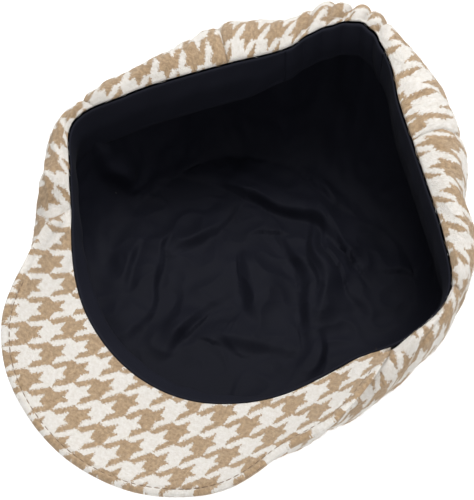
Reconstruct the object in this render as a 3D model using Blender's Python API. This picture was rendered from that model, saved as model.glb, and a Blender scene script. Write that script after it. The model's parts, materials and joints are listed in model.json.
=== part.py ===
"""A newsboy cap that lies upside down on its flattened crown, its opening up and tipped to the peak.

Metres, +Z up. The peak points to -Y. A bearing is an angle in degrees round the crown's centre,
0 at the front and growing towards +X. The cloth is laid on one form: a section at each bearing,
from the rim over the shoulder and the swell down to the flat base. Levels are counted square
to that form: cloth lies above level 0, and the lining below it.
"""

import math
from collections import namedtuple

import bmesh
import bpy
from mathutils import Matrix, Vector

# Driving dimensions
CROWN_REACH = 0.100  # the plan reach that the shares of the form table follow
BASE_REACH = 0.076  # radius of the part of the crown that lies flat
FRONT_RIM_HEIGHT = 0.034
RIM_TIP = 20.0  # how far the opening is tipped to the front, in degrees
RIM_ROLL = -30.0  # where round the shoulder the wall starts: the cloth rolls over the rim
PEAK_ROLL = 20.0  # the same under the peak, which presses the roll flat
CLOTH = 0.0020
LINING_WALL = 0.0010
BAND_WALL = 0.0012
BAND_WIDTH = 0.028
CASING_WALL = 0.0024
CASING_WIDTH = 0.022
GAP = 0.0004  # between pieces that are sewn together
TIP_RADIUS = 0.0015  # where the panels' points end, round the crown's centre
PILLOW = 0.0022  # how far a panel stands out between its seams
PILLOW_RISE = 0.5  # share of the form over which it grows below the rim
PILLOW_FADE = 0.6  # share of the form over which it goes before the base
PILLOW_FULLNESS = 3  # higher values keep it flat for longer between the seams
PUCKERS = 6
PUCKER_DEPTH = 0.0012
PEAK_WALL = 0.0045
PEAK_END_WALL = 0.0022
PEAK_END_TAPER = 14.0  # degrees along which the peak thins to its ends
PEAK_SEAT_FADE = 7.0  # degrees past the peak's ends in which the rim rises to its own height
PEAK_REACH = 0.138  # plan reach of the peak's edge at its tip
PEAK_EDGE_HEIGHT = 0.032
PEAK_CURL = 0.029  # how much higher the edge is at the peak's half width than at its tip
PEAK_HALF_WIDTH = 0.085
PEAK_SAG = 0.0015
PEAK_HEM = 0.008  # width of the peak's edge zone that holds the stitch groove
FOLD_WIDTH = 0.0085  # half the width of a fold in the lining

FormRow = namedtuple("FormRow", "bearing opening swell base shoulder")
FORM = (  # opening and swell are shares of CROWN_REACH, base of BASE_REACH, shoulder of the bulge
    FormRow(0, 0.86, 1.02, 1.0, 0.35),
    FormRow(30, 0.82, 0.96, 0.95, 0.35),
    FormRow(58, 0.80, 0.90, 0.80, 0.45),
    FormRow(75, 0.90, 0.925, 0.68, 1.0),
    FormRow(90, 0.95, 0.97, 0.77, 1.2),
    FormRow(106, 0.84, 0.955, 0.94, 1.2),
    FormRow(120, 0.77, 0.90, 1.0, 1.2),
    FormRow(136, 0.75, 0.98, 0.98, 1.1),
    FormRow(152, 0.79, 1.01, 0.94, 1.1),
    FormRow(165, 0.90, 1.0, 0.92, 1.2),
    FormRow(177, 0.98, 1.06, 0.92, 1.3),
    FormRow(188, 0.89, 1.09, 0.94, 1.2),
    FormRow(198, 0.77, 0.955, 1.0, 1.1),
    FormRow(216, 0.735, 1.02, 1.07, 1.1),
    FormRow(234, 0.77, 0.925, 1.06, 1.1),
    FormRow(252, 0.88, 0.985, 1.0, 1.2),
    FormRow(266, 1.01, 1.045, 0.96, 1.2),
    FormRow(278, 0.93, 1.02, 0.95, 1.1),
    FormRow(292, 0.87, 1.01, 0.97, 0.7),
    FormRow(325, 0.87, 1.03, 0.97, 0.35),
)

SeamRow = namedtuple("SeamRow", "bearing columns")
SEAMS = (  # columns are those of the panel that starts at this seam, before its gathers
    SeamRow(0, 8),
    SeamRow(47, 8),
    SeamRow(92, 6),
    SeamRow(138, 8),
    SeamRow(182, 6),
    SeamRow(218, 6),
    SeamRow(260, 8),
    SeamRow(306, 8),
)
GATHER_START = 167.0  # bearings of the elastic part of the rim, at the back
GATHER_END = 197.0
COLUMNS_APART = 0.5  # the least turn between two columns of a grid, in degrees

EdgeRow = namedtuple("EdgeRow", "bearing reach")
PEAK_EDGE = (  # reach is a share of PEAK_REACH
    EdgeRow(-71, 0.645),
    EdgeRow(-62, 0.70),
    EdgeRow(-51, 0.778),
    EdgeRow(-39, 0.898),
    EdgeRow(-29, 0.963),
    EdgeRow(-16, 0.990),
    EdgeRow(-4, 0.985),
    EdgeRow(9, 0.957),
    EdgeRow(20, 0.912),
    EdgeRow(32, 0.80),
    EdgeRow(44, 0.76),
    EdgeRow(56, 0.70),
    EdgeRow(69.5, 0.632),
)

HemRow = namedtuple("HemRow", "inset fullness")
PEAK_HEM_ROWS = (  # inset from the edge as a share of PEAK_HEM, thickness as a share of the wall
    HemRow(0.00, 0.40),
    HemRow(0.11, 0.82),
    HemRow(0.25, 1.00),
    HemRow(0.34, 0.80),
    HemRow(0.43, 1.00),
    HemRow(1.00, 1.00),
)
PEAK_ROWS = (0.0, 0.35, 0.7)  # shares of the way from the rim to the hem

SlopeRow = namedtuple("SlopeRow", "bearing slope")
BAND_SLOPE = (  # how steeply the sweatband goes down from the rim, in degrees
    SlopeRow(0, 36),
    SlopeRow(35, 56),
    SlopeRow(62, 72),
    SlopeRow(90, 80),
    SlopeRow(180, 86),
    SlopeRow(270, 79),
    SlopeRow(290, 74),
    SlopeRow(315, 50),
)
BAND_ROWS = (0.0, 0.06, 0.5, 1.0)  # shares of a band's width
BAND_LIP = 0.5  # share of a band's wall that its hems keep

# Rows of the form's grids: 0 is the rim, 1 the swell, 2 the base's edge and 3 the centre
FORM_SHARES = (0.0, 0.12, 0.45, 0.75, 1.0, 1.3, 1.6, 1.8, 2.0, 2.2, 2.4, 2.6, 2.8)
TIP_SHARE = 3.0 - TIP_RADIUS / BASE_REACH
FOLDS_START = 1.3  # share of the form from which the lining's folds rise
LIP = 0.6  # how far the cloth's two sides draw together at its folded edge

FoldRow = namedtuple("FoldRow", "x0 y0 x1 y1 height")
FOLDS = (  # ends of each fold in the lining as shares of BASE_REACH, height in metres
    FoldRow(-0.73, 0.77, -0.36, 0.65, 0.0060),
    FoldRow(-0.36, 0.65, 0.14, 0.64, 0.0065),
    FoldRow(0.14, 0.64, 0.60, 0.56, 0.0050),
    FoldRow(-0.45, 0.37, -0.54, -0.03, 0.0035),
    FoldRow(-0.67, 0.08, -0.48, -0.68, 0.0040),
    FoldRow(-0.11, 0.37, 0.36, -0.02, 0.0035),
    FoldRow(0.08, 0.57, 0.37, 0.09, 0.0035),
    FoldRow(0.19, 0.54, 0.65, 0.22, 0.0035),
    FoldRow(-0.16, -0.25, -0.18, -0.67, 0.0035),
)

Finish = namedtuple("Finish", "colour roughness")
WOOL = Finish((0.60, 0.50, 0.41), 0.95)  # the mean of the tan and the off-white
SATIN = Finish((0.012, 0.014, 0.021), 0.6)
TWILL = Finish((0.018, 0.018, 0.026), 0.75)

SHARP_ANGLE = 50.0  # degrees between faces from which an edge is shaded sharp
MERGE_DISTANCE = 1e-6


def between(rows, bearing, column):
    """The column's value at a bearing, on a smooth closed curve through the rows."""
    count = len(rows)
    turn = (bearing - rows[0].bearing) % 360.0 + rows[0].bearing
    after = next((i for i, row in enumerate(rows) if row.bearing > turn), count)

    def knot(index):
        laps, place = divmod(index, count)
        return rows[place].bearing + 360.0 * laps, getattr(rows[place], column)

    return hermite([knot(after + step) for step in (-2, -1, 0, 1)], turn)


def hermite(knots, place):
    """The value at a place between the two middle knots of four, with the outer two for its slopes."""
    (x0, y0), (x1, y1), (x2, y2), (x3, y3) = knots
    span = x2 - x1
    share = (place - x1) / span
    start = (y2 - y0) / (x2 - x0) * span
    end = (y3 - y1) / (x3 - x1) * span
    square, cube = share * share, share**3
    return (
        (2 * cube - 3 * square + 1) * y1
        + (cube - 2 * square + share) * start
        + (3 * square - 2 * cube) * y2
        + (cube - square) * end
    )


def edge_share(bearing):
    """The peak edge's reach at a bearing within the peak."""
    rows = PEAK_EDGE
    after = next((i for i, row in enumerate(rows) if row.bearing > bearing), len(rows) - 1)
    after = max(after, 1)
    picks = [max(after - 2, 0), after - 1, after, min(after + 1, len(rows) - 1)]
    return hermite([(rows[i].bearing, rows[i].reach) for i in picks], bearing)


def smooth(share):
    share = min(max(share, 0.0), 1.0)
    return share * share * (3 - 2 * share)


def signed(bearing):
    """The same bearing between -180 and 180 degrees."""
    return (bearing + 180.0) % 360.0 - 180.0


def inside_peak(bearing):
    """Degrees from the nearer end of the peak, negative past it."""
    turn = signed(bearing)
    return min(turn - PEAK_EDGE[0].bearing, PEAK_EDGE[-1].bearing - turn)


def peak_wall(bearing):
    share = smooth(inside_peak(bearing) / PEAK_END_TAPER)
    return PEAK_END_WALL + (PEAK_WALL - PEAK_END_WALL) * share


def under_peak(bearing):
    """1 where the peak lies on the rim, falling to 0 past its ends."""
    return smooth(1.0 + inside_peak(bearing) / PEAK_SEAT_FADE)


def opening_reach(bearing):
    return CROWN_REACH * between(FORM, bearing, "opening")


def rim_height(bearing):
    """The opening's plane, lowest at the front."""
    back = opening_reach(0) - opening_reach(bearing) * math.cos(math.radians(bearing))
    return FRONT_RIM_HEIGHT + back * math.tan(math.radians(RIM_TIP))


def at(bearing, reach, height):
    angle = math.radians(bearing)
    return Vector((reach * math.sin(angle), -reach * math.cos(angle), height))


def form(bearing, share, level):
    """A point of the cap's form. share runs 0 to 1 from the rim to the swell, to 2 at the base's
    edge and to 3 at the centre. level is its distance above the form, towards the outside."""
    covered = under_peak(bearing)
    edge = rim_height(bearing) - covered * (peak_wall(bearing) + GAP + CLOTH)
    roll = math.radians(RIM_ROLL + covered * (PEAK_ROLL - RIM_ROLL))
    swell = CROWN_REACH * between(FORM, bearing, "swell")
    base = BASE_REACH * between(FORM, bearing, "base")
    # The cloth leans in over the rim by its own thickness, so its middle keeps back by that much
    shoulder = between(FORM, bearing, "shoulder")
    lean = -shoulder * math.sin(roll) / math.hypot(shoulder * math.sin(roll), math.cos(roll))
    bulge = (swell - opening_reach(bearing) - max(lean, 0.0) * CLOTH) / (1 - math.sin(roll))
    drop = shoulder * bulge
    swell_height = edge - drop * math.cos(roll)
    if share <= 1:
        turn = roll + (math.pi / 2 - roll) * share
        reach = swell - bulge * (1 - math.sin(turn))
        height = swell_height + drop * math.cos(turn)
        square = Vector((drop * math.sin(turn), bulge * math.cos(turn)))
    elif share <= 2:
        turn = math.pi / 2 * (share - 1)
        wide = swell - base
        tall = swell_height - CLOTH
        reach = base + wide * math.cos(turn)
        height = CLOTH + tall * (1 - math.sin(turn))
        square = Vector((tall * math.cos(turn), -wide * math.sin(turn)))
    else:
        reach = base * (3 - share)
        height = CLOTH
        square = Vector((0.0, -1.0))
    square.normalize()
    return at(bearing, reach + level * square.x, height + level * square.y)


def pillow(across, share):
    """How far a panel stands out at a place between its seams, 0 to 1, and down its section."""
    down = smooth(share / PILLOW_RISE) * smooth((2 - share) / PILLOW_FADE)
    return PILLOW * (1 - abs(2 * across - 1) ** PILLOW_FULLNESS) * down


def pucker(bearing, share):
    """The gathers of the elastic part, which the outside of the cloth shows."""
    turn = (bearing - GATHER_START) / (GATHER_END - GATHER_START)
    if not 0 < turn < 1:
        return 0.0
    wave = math.cos(2 * math.pi * PUCKERS * turn)
    return PUCKER_DEPTH * (wave - 1) / 2 * (1 - smooth(share))


def fold_height(point):
    """How high the lining stands up at a plan point, over all its folds."""
    height = 0.0
    for fold in FOLDS:
        start = Vector((fold.x0, fold.y0)) * BASE_REACH
        run = Vector((fold.x1, fold.y1)) * BASE_REACH - start
        away = point.xy - start
        along = min(max(away.dot(run) / run.length_squared, 0.0), 1.0)
        gap = (away - run * along).length / FOLD_WIDTH
        height = max(height, fold.height * math.exp(-gap * gap))
    return height


def inside(bearings, start, end):
    """Those of the bearings that lie between two others and clear of both."""
    return [b for b in bearings if start + COLUMNS_APART < b < end - COLUMNS_APART]


def panel_bearings(index):
    """The bearings of a panel's columns. In the elastic part they fall on its gathers."""
    start = SEAMS[index].bearing
    end = SEAMS[(index + 1) % len(SEAMS)].bearing
    if end <= start:
        end += 360
    columns = SEAMS[index].columns
    half = (GATHER_END - GATHER_START) / (2 * PUCKERS)
    gathers = [GATHER_START + half * i for i in range(2 * PUCKERS + 1)]
    even = [start + (end - start) * i / columns for i in range(columns + 1)]
    plain = [b for b in even if not GATHER_START - half < b < GATHER_END + half]
    return [start] + sorted(inside(plain + gathers, start, end)) + [end]


def ring_bearings():
    """The bearings of all the panels, once round, so that every ring has its corners in line."""
    bearings = []
    for index in range(len(SEAMS)):
        bearings += panel_bearings(index)[:-1]
    return bearings + [SEAMS[0].bearing + 360]


def material(name, finish):
    made = bpy.data.materials.new(name)
    made.use_nodes = True
    shader = made.node_tree.nodes["Principled BSDF"]
    shader.inputs["Base Color"].default_value = (*finish.colour, 1.0)
    shader.inputs["Roughness"].default_value = finish.roughness
    shader.inputs["Metallic"].default_value = 0.0
    return made


def add_sheet(mesh, columns, rows, place):
    """A grid in which the corner at each column and row goes to its place."""
    grid = bmesh.ops.create_grid(mesh, x_segments=columns, y_segments=rows, size=0.5)
    for corner in grid["verts"]:
        column = round((corner.co.x + 0.5) * columns)
        row = round((0.5 - corner.co.y) * rows)
        corner.co = place(column, row)
    # Sheets that lie on each other keep their diagonals in step, so that they never cross
    sheet = {face for corner in grid["verts"] for face in corner.link_faces}
    bmesh.ops.triangulate(mesh, faces=list(sheet), quad_method="FIXED")
    bmesh.ops.remove_doubles(mesh, verts=grid["verts"], dist=MERGE_DISTANCE)


def add_wall(name, columns, rows, outer, inner, finish):
    """A wall of cloth: two sheets whose borders are joined."""
    mesh = bmesh.new()
    add_sheet(mesh, columns, rows, outer)
    add_sheet(mesh, columns, rows, inner)
    borders = [edge for edge in mesh.edges if edge.is_boundary]
    bmesh.ops.bridge_loops(mesh, edges=borders)
    bmesh.ops.recalc_face_normals(mesh, faces=mesh.faces)
    data = bpy.data.meshes.new(name)
    mesh.to_mesh(data)
    mesh.free()
    data.shade_smooth()
    data.set_sharp_from_angle(angle=math.radians(SHARP_ANGLE))
    data.materials.append(finish)
    made = bpy.data.objects.new(name, data)
    bpy.context.collection.objects.link(made)
    return made


def add_crown_panel(index):
    bearings = panel_bearings(index)
    columns = len(bearings) - 1
    shares = (*FORM_SHARES, TIP_SHARE)

    def place(column, row, level, gathers):
        bearing, share = bearings[column], shares[row]
        across = (bearing - bearings[0]) / (bearings[-1] - bearings[0])
        level += pillow(across, share) + gathers * pucker(bearing, share)
        if row == 0:
            level += LIP * (CLOTH / 2 - level)
        side = at(bearing + 90, GAP / 2 * (1 - 2 * across), 0.0)
        return form(bearing, share, level) + side

    return add_wall(
        f"crown_panel_{index + 1}",
        columns,
        len(shares) - 1,
        lambda column, row: place(column, row, CLOTH, 1),
        lambda column, row: place(column, row, 0.0, 0),
        material(f"wool_{index + 1}", WOOL),
    )


def add_lining():
    bearings = ring_bearings()
    shares = (*FORM_SHARES, 3.0)

    def place(column, row, level):
        share = shares[row]
        rest = form(bearings[column], share, 0.0)
        rise = fold_height(rest) * smooth((share - FOLDS_START) / (2 - FOLDS_START))
        return form(bearings[column], share, level - rise)

    return add_wall(
        "lining",
        len(bearings) - 1,
        len(shares) - 1,
        lambda column, row: place(column, row, -GAP),
        lambda column, row: place(column, row, -GAP - LINING_WALL),
        material("lining_satin", SATIN),
    )


def add_band(name, start, end, width, wall, finish):
    """A strip that hangs from the rim inside the cloth, between two bearings."""
    around = ring_bearings()[:-1]
    bearings = [start] + inside([b - 360 for b in around] + around, start, end) + [end]

    def place(column, row, level):
        bearing = bearings[column]
        slope = math.radians(between(BAND_SLOPE, bearing, "slope"))
        down = width * BAND_ROWS[row]
        if row in (0, len(BAND_ROWS) - 1):
            level = wall / 2 + (level - wall / 2) * BAND_LIP
        reach = opening_reach(bearing) - GAP - down * math.cos(slope) - level * math.sin(slope)
        height = rim_height(bearing) - down * math.sin(slope) + level * math.cos(slope)
        return at(bearing, reach, height - wall * math.cos(slope))

    return add_wall(
        name,
        len(bearings) - 1,
        len(BAND_ROWS) - 1,
        lambda column, row: place(column, row, 0.0),
        lambda column, row: place(column, row, wall),
        finish,
    )


def add_sweatband():
    end_gap = math.degrees(GAP / CROWN_REACH)
    start = GATHER_END + end_gap - 360
    return add_band(
        "sweatband",
        start,
        GATHER_START - end_gap,
        BAND_WIDTH,
        BAND_WALL,
        material("sweatband_twill", TWILL),
    )


def add_elastic_casing():
    return add_band(
        "elastic_casing",
        GATHER_START,
        GATHER_END,
        CASING_WIDTH,
        CASING_WALL,
        material("casing_twill", TWILL),
    )


def peak_surface(bearing, share):
    """The side of the peak that faces up here, from the rim to the edge."""
    root = at(bearing, opening_reach(bearing), rim_height(bearing))
    edge = at(bearing, PEAK_REACH * edge_share(bearing), 0.0)
    edge.z = PEAK_EDGE_HEIGHT + PEAK_CURL * (edge.x / PEAK_HALF_WIDTH) ** 2
    point = root.lerp(edge, share)
    point.z -= PEAK_SAG * 4 * share * (1 - share)
    return point


def peak_normal(bearing, share):
    """The direction square to the peak's surface, from points half a degree and a hundredth away."""
    turn, step = 0.5, 0.01
    before = peak_surface(max(bearing - turn, PEAK_EDGE[0].bearing), share)
    after = peak_surface(min(bearing + turn, PEAK_EDGE[-1].bearing), share)
    outward = peak_surface(bearing, share + step) - peak_surface(bearing, share - step)
    return outward.cross(after - before).normalized()


def add_peak():
    start, end = PEAK_EDGE[0].bearing, PEAK_EDGE[-1].bearing
    around = sorted(signed(b) for b in ring_bearings()[:-1])
    bearings = [start] + inside(around, start, end) + [end]
    rows = len(PEAK_ROWS) + len(PEAK_HEM_ROWS)

    def place(column, row, side):
        bearing = bearings[column]
        width = PEAK_REACH * edge_share(bearing) - opening_reach(bearing)
        hem = min(PEAK_HEM, width / 2)
        fullness = 1.0
        if row < len(PEAK_ROWS):
            share = PEAK_ROWS[row] * (1 - hem / width)
        else:
            hem_row = PEAK_HEM_ROWS[rows - 1 - row]
            share = 1 - hem_row.inset * hem / width
            fullness = hem_row.fullness
        wall = peak_wall(bearing)
        depth = wall / 2 * (1 - side * fullness)
        if row == 0:
            return peak_surface(bearing, share) - Vector((0, 0, depth))
        return peak_surface(bearing, share) - peak_normal(bearing, share) * depth

    return add_wall(
        "peak",
        len(bearings) - 1,
        rows - 1,
        lambda column, row: place(column, row, 1),
        lambda column, row: place(column, row, -1),
        material("peak_wool", WOOL),
    )


def set_down(pieces):
    """Puts the origin under the middle of the cap's box, on the surface it lies on."""
    corners = [corner.co for piece in pieces for corner in piece.data.vertices]
    low = Vector(min(corner[axis] for corner in corners) for axis in range(3))
    high = Vector(max(corner[axis] for corner in corners) for axis in range(3))
    middle = (low + high) / 2
    for piece in pieces:
        piece.data.transform(Matrix.Translation((-middle.x, -middle.y, -low.z)))


def clear_scene():
    for item in list(bpy.data.objects):
        bpy.data.objects.remove(item, do_unlink=True)


def main():
    clear_scene()
    pieces = [add_crown_panel(index) for index in range(len(SEAMS))]
    pieces += [add_lining(), add_sweatband(), add_elastic_casing(), add_peak()]
    set_down(pieces)


main()
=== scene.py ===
import json
import math
from collections import namedtuple

import bmesh
import bpy
from mathutils import Matrix, Vector, noise


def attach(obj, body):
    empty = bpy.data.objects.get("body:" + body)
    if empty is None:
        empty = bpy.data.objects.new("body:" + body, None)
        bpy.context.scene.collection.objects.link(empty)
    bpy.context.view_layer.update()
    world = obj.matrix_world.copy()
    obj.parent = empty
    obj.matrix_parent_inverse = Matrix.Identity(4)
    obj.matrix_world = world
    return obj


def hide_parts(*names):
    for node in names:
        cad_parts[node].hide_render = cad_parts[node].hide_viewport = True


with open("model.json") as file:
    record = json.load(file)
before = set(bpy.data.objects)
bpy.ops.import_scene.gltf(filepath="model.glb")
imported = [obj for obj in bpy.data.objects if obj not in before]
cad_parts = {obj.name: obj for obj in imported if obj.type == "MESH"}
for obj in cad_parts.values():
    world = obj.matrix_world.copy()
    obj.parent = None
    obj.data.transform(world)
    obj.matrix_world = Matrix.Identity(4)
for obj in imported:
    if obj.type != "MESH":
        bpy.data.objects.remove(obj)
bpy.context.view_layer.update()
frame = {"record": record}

# A newsboy cap of houndstooth wool that lies upside down on its crown. Lengths are in metres.
# A bearing is an angle in degrees round the crown's centre: 0 at the front, growing towards +X.
# A share runs 0 to 1 from the rim to the swell, to 2 at the edge of the base and to 3 at the centre.
# A level is a distance square to the form, growing outwards: cloth above 0, the lining below it.

capForm = {
    "crownReach": 0.100,
    "baseReach": 0.076,
    "frontRimHeight": 0.034,
    "rimTip": 20.0,  # degrees by which the opening is tipped to the front
    "rimRoll": -30.0,  # degrees by which the cloth rolls over the rim
    "peakRoll": 20.0,  # the same where the peak lies on it
    "cloth": 0.0020,
    "liningWall": 0.0010,
    "gap": 0.0004,
    "restPointReach": 0.045,  # from the crown's centre to the middle of its resting face
    "restPointBearing": 160.0,
}

formRow = namedtuple("formRow", "bearing opening swell base shoulder")
formRows = [  # opening and swell are shares of crownReach, base of baseReach, shoulder of the bulge
    formRow(0, 0.86, 1.02, 1.0, 0.35),
    formRow(30, 0.82, 0.96, 0.95, 0.35),
    formRow(58, 0.80, 0.90, 0.80, 0.45),
    formRow(75, 0.90, 0.925, 0.68, 1.0),
    formRow(90, 0.95, 0.97, 0.77, 1.2),
    formRow(106, 0.84, 0.955, 0.94, 1.2),
    formRow(120, 0.77, 0.90, 1.0, 1.2),
    formRow(136, 0.75, 0.98, 0.98, 1.1),
    formRow(152, 0.79, 1.01, 0.94, 1.1),
    formRow(165, 0.90, 1.0, 0.92, 1.2),
    formRow(177, 0.98, 1.06, 0.92, 1.3),
    formRow(188, 0.89, 1.09, 0.94, 1.2),
    formRow(198, 0.77, 0.955, 1.0, 1.1),
    formRow(216, 0.735, 1.02, 1.07, 1.1),
    formRow(234, 0.77, 0.925, 1.06, 1.1),
    formRow(252, 0.88, 0.985, 1.0, 1.2),
    formRow(266, 1.01, 1.045, 0.96, 1.2),
    formRow(278, 0.93, 1.02, 0.95, 1.1),
    formRow(292, 0.87, 1.01, 0.97, 0.7),
    formRow(325, 0.87, 1.03, 0.97, 0.35),
]


def smooth(share):
    share = min(max(share, 0.0), 1.0)
    return share * share * (3 - 2 * share)


def mix(start, end, share):
    return start + (end - start) * share


def hermite(knots, place):
    (x0, y0), (x1, y1), (x2, y2), (x3, y3) = knots
    span = x2 - x1
    share = (place - x1) / span
    startSlope = (y2 - y0) / (x2 - x0) * span
    endSlope = (y3 - y1) / (x3 - x1) * span
    square, cube = share * share, share**3
    return (
        (2 * cube - 3 * square + 1) * y1
        + (cube - 2 * square + share) * startSlope
        + (3 * square - 2 * cube) * y2
        + (cube - square) * endSlope
    )


def between(rows, bearing, column):  # a smooth closed curve through the rows
    count = len(rows)
    turn = (bearing - rows[0].bearing) % 360.0 + rows[0].bearing
    after = next((i for i, row in enumerate(rows) if row.bearing > turn), count)

    def knot(index):
        laps, place = divmod(index, count)
        return rows[place].bearing + 360.0 * laps, getattr(rows[place], column)

    return hermite([knot(after + step) for step in (-2, -1, 0, 1)], turn)


def signed(bearing):
    return (bearing + 180.0) % 360.0 - 180.0


def direction(bearing):
    angle = math.radians(bearing)
    return Vector((math.sin(angle), -math.cos(angle), 0.0))


def crownCentre():  # from the resting face's mount, which the record places
    mount = next(item for item in frame["record"]["mounts"] if item["name"] == "crown_rest")
    spot = Vector(mount["pos_m"])
    return spot - direction(capForm["restPointBearing"]) * capForm["restPointReach"]


centre = crownCentre()


def at(bearing, reach, height):
    return centre + direction(bearing) * reach + Vector((0.0, 0.0, height))


# The peak's outline and thickness, which the rim's height under it follows
peakForm = {
    "wall": 0.0045,
    "endWall": 0.0009,
    "endTaper": 27.0,  # degrees along which it thins to its ends
    "seatFade": 7.0,
    "reach": 0.138,
    "edgeHeight": 0.032,
    "curl": 0.029,
    "halfWidth": 0.085,
    "sag": 0.0015,
    "hem": 0.008,
    "columns": 250,
    "innerRows": 34,
    "hemRows": 16,
    "edgeRadius": 0.0024,
    "endEdgeRadius": 0.0062,
    "endEase": 8.0,  # degrees along which the edge comes down to the rim at the ends
    "grooveInset": 0.0028,  # how far inside the edge the stitch line runs
    "grooveWidth": 0.0008,
    "grooveDepth": 0.0007,
    "undulation": 0.00035,
    "endWrinkle": 0.0011,
}

edgeRow = namedtuple("edgeRow", "bearing reach")
peakEdge = [  # reach is a share of the peak's reach
    edgeRow(-71, 0.645),
    edgeRow(-62, 0.70),
    edgeRow(-51, 0.778),
    edgeRow(-39, 0.898),
    edgeRow(-29, 0.963),
    edgeRow(-16, 0.990),
    edgeRow(-4, 0.985),
    edgeRow(9, 0.957),
    edgeRow(20, 0.912),
    edgeRow(32, 0.80),
    edgeRow(44, 0.76),
    edgeRow(56, 0.70),
    edgeRow(69.5, 0.632),
]
peakStart, peakEnd = peakEdge[0].bearing, peakEdge[-1].bearing


def edgeShare(bearing):
    rows = peakEdge
    after = next((i for i, row in enumerate(rows) if row.bearing > bearing), len(rows) - 1)
    after = max(after, 1)
    picks = [max(after - 2, 0), after - 1, after, min(after + 1, len(rows) - 1)]
    return hermite([(rows[i].bearing, rows[i].reach) for i in picks], bearing)


def insidePeak(bearing):
    turn = signed(bearing)
    return min(turn - peakStart, peakEnd - turn)


def peakWall(bearing):
    share = smooth(insidePeak(bearing) / peakForm["endTaper"])
    return mix(peakForm["endWall"], peakForm["wall"], share)


def underPeak(bearing):  # 1 where the peak lies on the rim, 0 past its ends
    return smooth(1.0 + insidePeak(bearing) / peakForm["seatFade"])


# The gathered stretch of the rim at the centre back
gathers = {
    "start": 167.0,
    "end": 197.0,
    "count": 6,
    "depth": 0.0042,
    "rimRipple": 0.0005,  # how far the gathers pull the edge of the opening in and out
}


def gatherTurn(bearing):
    return (bearing % 360 - gathers["start"]) / (gathers["end"] - gathers["start"])


def gatherWave(bearing):  # 0 in the creases and outside the stretch, 1 on the crests
    turn = gatherTurn(bearing)
    if not 0 < turn < 1:
        return 0.0
    return abs(math.sin(math.pi * gathers["count"] * turn)) ** 0.6


def openingReach(bearing):
    turn = gatherTurn(bearing)
    ripple = math.sin(math.pi * gathers["count"] * turn) ** 2 * gathers["rimRipple"] if 0 < turn < 1 else 0.0
    return capForm["crownReach"] * between(formRows, bearing, "opening") - ripple


def rimHeight(bearing):
    back = openingReach(0) - openingReach(bearing) * math.cos(math.radians(bearing))
    return capForm["frontRimHeight"] + back * math.tan(math.radians(capForm["rimTip"]))


section = namedtuple("section", "roll swell base bulge drop swellHeight")
sections = {}  # each bearing's section is worked out once


def sectionAt(bearing):
    if bearing in sections:
        return sections[bearing]
    covered = underPeak(bearing)
    seat = peakWall(bearing) + capForm["gap"] + capForm["cloth"]
    edge = rimHeight(bearing) - covered * seat
    roll = math.radians(mix(capForm["rimRoll"], capForm["peakRoll"], covered))
    swell = capForm["crownReach"] * between(formRows, bearing, "swell")
    base = capForm["baseReach"] * between(formRows, bearing, "base")
    shoulder = between(formRows, bearing, "shoulder")
    lean = -shoulder * math.sin(roll) / math.hypot(shoulder * math.sin(roll), math.cos(roll))
    keptBack = max(lean, 0.0) * capForm["cloth"]
    bulge = (swell - openingReach(bearing) - keptBack) / (1 - math.sin(roll))
    drop = shoulder * bulge
    made = section(roll, swell, base, bulge, drop, edge - drop * math.cos(roll))
    sections[bearing] = made
    return made


def form(bearing, share, level):
    cut = sectionAt(bearing)
    cloth = capForm["cloth"]
    if share <= 1:
        turn = mix(cut.roll, math.pi / 2, share)
        reach = cut.swell - cut.bulge * (1 - math.sin(turn))
        height = cut.swellHeight + cut.drop * math.cos(turn)
        square = Vector((cut.drop * math.sin(turn), cut.bulge * math.cos(turn)))
    elif share <= 2:
        turn = math.pi / 2 * (share - 1)
        wide = cut.swell - cut.base
        tall = cut.swellHeight - cloth
        reach = cut.base + wide * math.cos(turn)
        height = cloth + tall * (1 - math.sin(turn))
        square = Vector((tall * math.cos(turn), -wide * math.sin(turn)))
    else:
        reach = cut.base * (3 - share)
        height = cloth
        square = Vector((0.0, -1.0))
    square.normalize()
    return at(bearing, reach + level * square.x, height + level * square.y)


# Small helpers for building materials from nodes
def newMaterial(name):
    made = bpy.data.materials.new(name)
    made.use_nodes = True
    tree = made.node_tree
    return made, tree, tree.nodes["Principled BSDF"]


def feed(tree, socket, value):
    if isinstance(value, bpy.types.NodeSocket):
        tree.links.new(value, socket)
    elif value is not None:
        socket.default_value = value


def calc(tree, operation, *values):
    node = tree.nodes.new("ShaderNodeMath")
    node.operation = operation
    for socket, value in zip(node.inputs, values):
        feed(tree, socket, value)
    return node.outputs[0]


def vectorCalc(tree, operation, *values):
    node = tree.nodes.new("ShaderNodeVectorMath")
    node.operation = operation
    for socket, value in zip(node.inputs, values):
        feed(tree, socket, value)
    return node.outputs[0]


def blendColours(tree, share, first, second):
    node = tree.nodes.new("ShaderNodeMix")
    node.data_type = "RGBA"
    feed(tree, node.inputs["Factor"], share)
    feed(tree, node.inputs["A"], first)
    feed(tree, node.inputs["B"], second)
    return node.outputs["Result"]


def speckle(tree, place, scale, detail=2.0, roughness=0.5):
    node = tree.nodes.new("ShaderNodeTexNoise")
    node.inputs["Scale"].default_value = scale
    node.inputs["Detail"].default_value = detail
    node.inputs["Roughness"].default_value = roughness
    tree.links.new(place, node.inputs["Vector"])
    return node.outputs["Fac"], node.outputs["Color"]


def clothPlace(tree):  # the piece's own cloth map, in metres along the weft and the warp
    node = tree.nodes.new("ShaderNodeAttribute")
    node.attribute_name = "cloth"
    return node.outputs["Vector"]


def bump(tree, height, strength, distance, normal=None):
    node = tree.nodes.new("ShaderNodeBump")
    node.inputs["Strength"].default_value = strength
    node.inputs["Distance"].default_value = distance
    tree.links.new(height, node.inputs["Height"])
    feed(tree, node.inputs["Normal"], normal)
    return node.outputs["Normal"]


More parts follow.
